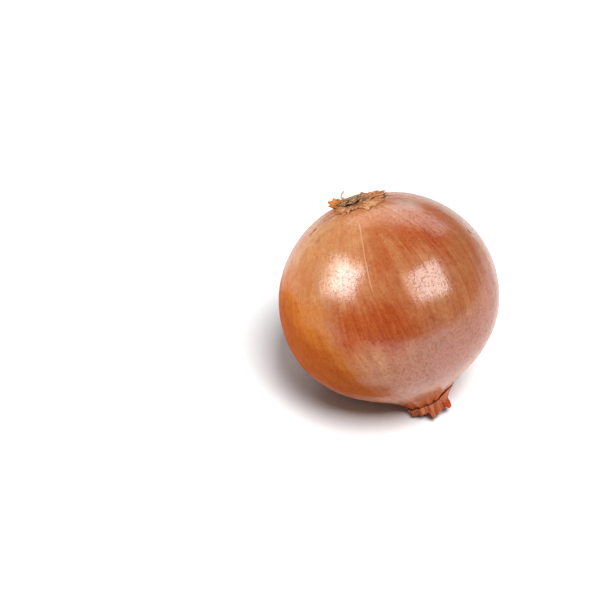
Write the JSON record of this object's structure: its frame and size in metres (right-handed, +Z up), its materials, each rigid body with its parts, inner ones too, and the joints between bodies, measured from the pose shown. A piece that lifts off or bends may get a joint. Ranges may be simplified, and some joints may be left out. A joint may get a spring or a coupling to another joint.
{
  "type": "onion",
  "caption": "Whole brown-skinned onion lying tilted on its shoulder, root end up, with torn papery skin and dry roots round the root plate and a ragged frill of dry skin at the neck.",
  "frame": {"origin": "on the flat spot that the onion rests on, straight below the centre of the bulb, at the level of the table", "axes": "+Z up, away from the table; the neck points down and towards +X -Y, and the root end points up and towards -X +Y, about 33 degrees off the vertical"},
  "size_m": [0.0771, 0.0775, 0.074],
  "materials": {
    "bulb_skin": "dry onion skin, copper brown, satin gloss",
    "root_end_skin": "torn papery skin, light tan, matt",
    "dry_roots": "dry root fibres, grey brown, matt",
    "neck_skin": "torn papery skin, rust orange, matt",
    "neck_inner_skin": "thin inner skin, bright amber, slightly glossy"
  },
  "bodies": {
    "root": {"bulb": "bulb_skin", "root_end_skin": "root_end_skin", "roots": "dry_roots", "neck_skin": "neck_skin", "neck_inner_skin": "neck_inner_skin"}
  },
  "joints": []
}
